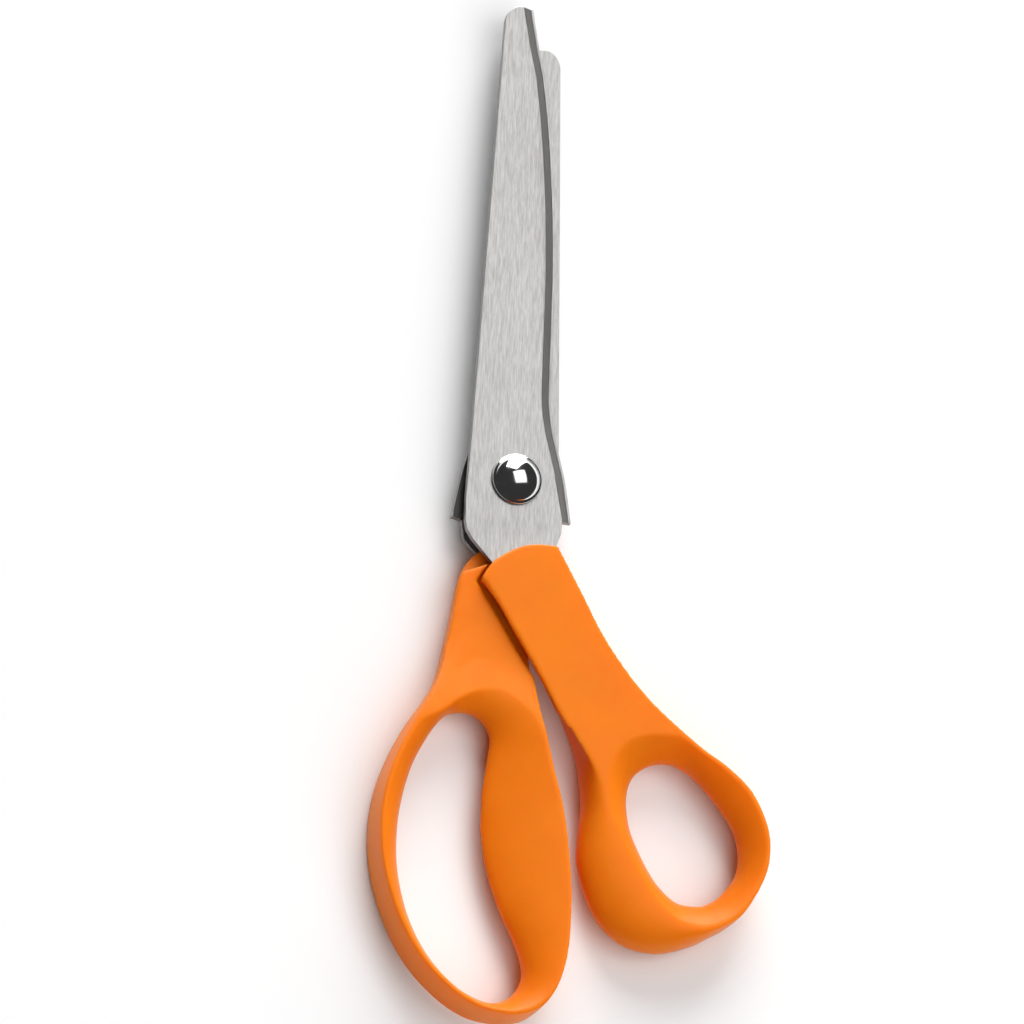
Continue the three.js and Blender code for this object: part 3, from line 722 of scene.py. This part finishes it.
# ---- the object ----

steel = brushed_steel("blade_steel", 0.49, 0.36, 0.18)
# A darker copy of the blade steel for the sloping wall and sheared edges: partly their unground pressed
# finish, partly painted shade standing in for the wall's dark reflection.
pressed_and_shaded_steel = brushed_steel("pressed_and_shaded_steel", 0.29, 0.42, 0.08)
# A near-black copy of the blade steel for the inside of the heel strip: painted shade, where the front
# blade shades it and it reflects little light.
heel_painted_shade_steel = brushed_steel("heel_painted_shade_steel", 0.07, 0.40, 0.10)
washer_steel = brushed_steel("washer_steel", 0.42, 0.40, 0.08)
# The plain blade steel and its two darker copies, which carry painted shade.
blade_steels_and_shades = [steel, pressed_and_shaded_steel, heel_painted_shade_steel]
chrome = polished_chrome()
orange = moulded_orange()
nylon = natural_nylon()

front_blade = settled(blade("blade_front", FRONT_HEEL_Y, FRONT_TIP_Y, FRONT_TANG, 1))
dress(front_blade, blade_steels_and_shades, "front_half", "blade_steel", "front_blade")

rear_blade = blade("blade_rear", REAR_HEEL_Y, REAR_TIP_Y, REAR_TANG, -1)
rear_blade.data.transform(Matrix.Rotation(math.pi, 4, "Y"))
dress(settled(rear_blade), blade_steels_and_shades, "rear_half", "blade_steel", "rear_blade")

dress(settled(thumb_handle()), [orange], "front_half", "handle_plastic", "thumb_handle")
dress(settled(finger_handle()), [orange], "rear_half", "handle_plastic", "finger_handle")

bolt = pivot_bolt()
smooth_by_angle(bolt, 50)
dress(settled(bolt), [chrome], "rear_half", "pivot_chrome", "pivot_bolt")

for node, material in (
    ("pivot_nut", chrome),
    ("pivot_spacer", washer_steel),
    ("spring_washer", washer_steel),
    ("pivot_bushing", nylon),
):
    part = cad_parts[node]
    part.data.materials.clear()
    part.data.materials.append(material)
    smooth_by_angle(part, 30)

# ---- stage ----

CAMERA_AZIMUTH = -44.5
CAMERA_ELEVATION = 67.5
CAMERA_ROLL = 49.24
CAMERA_DISTANCE = 6.0
FRAME_WIDTH = 0.2319  # across the view at the pivot
AIM = (-0.000136, -0.00657)  # from the pivot, to the right and up in the view
SENSOR = 36.0
FLOOR_HALF = 12.0
FLOOR_DROP = 0.0002  # below the resting faces
STUDIO_RADIUS = 7.0  # distance of the softboxes, so that they light the whole floor alike
# Direction, width and height as shares of the distance, and radiance.
SOFTBOXES = {
    "overhead": ((0.268, 0.273, 0.924), 0.62, 0.62, 1.5),
    "key": ((0.08, 0.93, 0.36), 1.08, 0.63, 7.4),
    "fill": ((0.34, -0.38, 0.86), 1.33, 1.33, 1.55),
    "left_panel": ((-0.64, 0.64, 0.42), 1.07, 0.6, 1.0),
    "right_panel": ((0.67, -0.67, 0.32), 1.07, 0.6, 1.0),
}
NOT_MIRRORED = ("fill",)  # it brightens dull surfaces only
BLADES_ONLY = ("left_panel", "right_panel")  # the bolt head would mirror them too
WALL_WHITE = 1.6
CEILING_DARK = 0.035
CEILING_EDGE = (0.02, 0.12)  # how high above the horizon the walls give way to it


def camera_axes():
    """Right, up and back directions of the camera."""
    azimuth, elevation = math.radians(CAMERA_AZIMUTH), math.radians(CAMERA_ELEVATION)
    level = math.cos(elevation)
    back = Vector((math.sin(azimuth) * level, -math.cos(azimuth) * level, math.sin(elevation)))
    right = Vector((0, 0, 1)).cross(back).normalized()
    turn = Matrix.Rotation(math.radians(CAMERA_ROLL), 3, back)
    right = turn @ right
    return right, back.cross(right), back


def add_camera():
    right, up, back = camera_axes()
    data = bpy.data.cameras.new("camera")
    data.sensor_width = SENSOR
    data.lens = SENSOR * CAMERA_DISTANCE / FRAME_WIDTH
    camera = link("camera", data)
    pivot = Vector((0, 0, MID_HEIGHT * MM))
    axes = Matrix((right, up, back)).transposed().to_4x4()
    place = pivot + AIM[0] * right + AIM[1] * up + CAMERA_DISTANCE * back
    camera.matrix_world = Matrix.Translation(place) @ axes
    bpy.context.scene.camera = camera


def add_softbox(name, direction, width, height, radiance):
    """A rectangular soft light that the camera doesn't see."""
    data = bpy.data.lights.new(name, "AREA")
    data.shape = "RECTANGLE"
    data.size = width * STUDIO_RADIUS
    data.size_y = height * STUDIO_RADIUS
    data.energy = radiance * math.pi * data.size * data.size_y
    back = Vector(direction).normalized()
    right = camera_axes()[1].cross(back).normalized()
    light = link(name, data)
    light.matrix_world = Matrix((right, back.cross(right), back)).transposed().to_4x4()
    light.location = back * STUDIO_RADIUS
    light.visible_camera = False
    light.visible_glossy = name not in NOT_MIRRORED
    if name in BLADES_ONLY:
        lit = bpy.data.collections.new(name + "_lit")
        lit.objects.link(front_blade)
        lit.objects.link(rear_blade)
        light.light_linking.receiver_collection = lit


def add_floor():
    material, nodes, links, shader = new_material("floor_paper")
    cloud = stretched_noise(nodes, links, (3, 3, 3))
    tone = ramp(nodes, links, cloud, [(0.3, grey(0.88)), (0.7, grey(0.90))])
    links.new(tone, shader.inputs["Base Color"])
    shader.inputs["Roughness"].default_value = 0.8
    half = FLOOR_HALF
    corners = [(-half, -half, 0), (half, -half, 0), (half, half, 0), (-half, half, 0)]
    mesh = bpy.data.meshes.new("floor")
    mesh.from_pydata(corners, [], [(0, 1, 2, 3)])
    mesh.materials.append(material)
    floor = link("floor", mesh)
    floor.location.z = -FLOOR_DROP


def add_world():
    """White walls along the horizon under a dark ceiling."""
    world = bpy.data.worlds.new("studio")
    world.use_nodes = True
    nodes, links = world.node_tree.nodes, world.node_tree.links
    coordinates = nodes.new("ShaderNodeTexCoord")
    direction = nodes.new("ShaderNodeSeparateXYZ")
    links.new(coordinates.outputs["Generated"], direction.inputs["Vector"])
    low, high = CEILING_EDGE
    stops = [(low, grey(WALL_WHITE)), (high, grey(CEILING_DARK))]
    level = ramp(nodes, links, direction.outputs["Z"], stops)
    links.new(level, nodes["Background"].inputs["Color"])
    bpy.context.scene.world = world


add_camera()
add_floor()
add_world()
for name, settings in SOFTBOXES.items():
    add_softbox(name, *settings)
bpy.context.scene.view_settings.view_transform = "Standard"
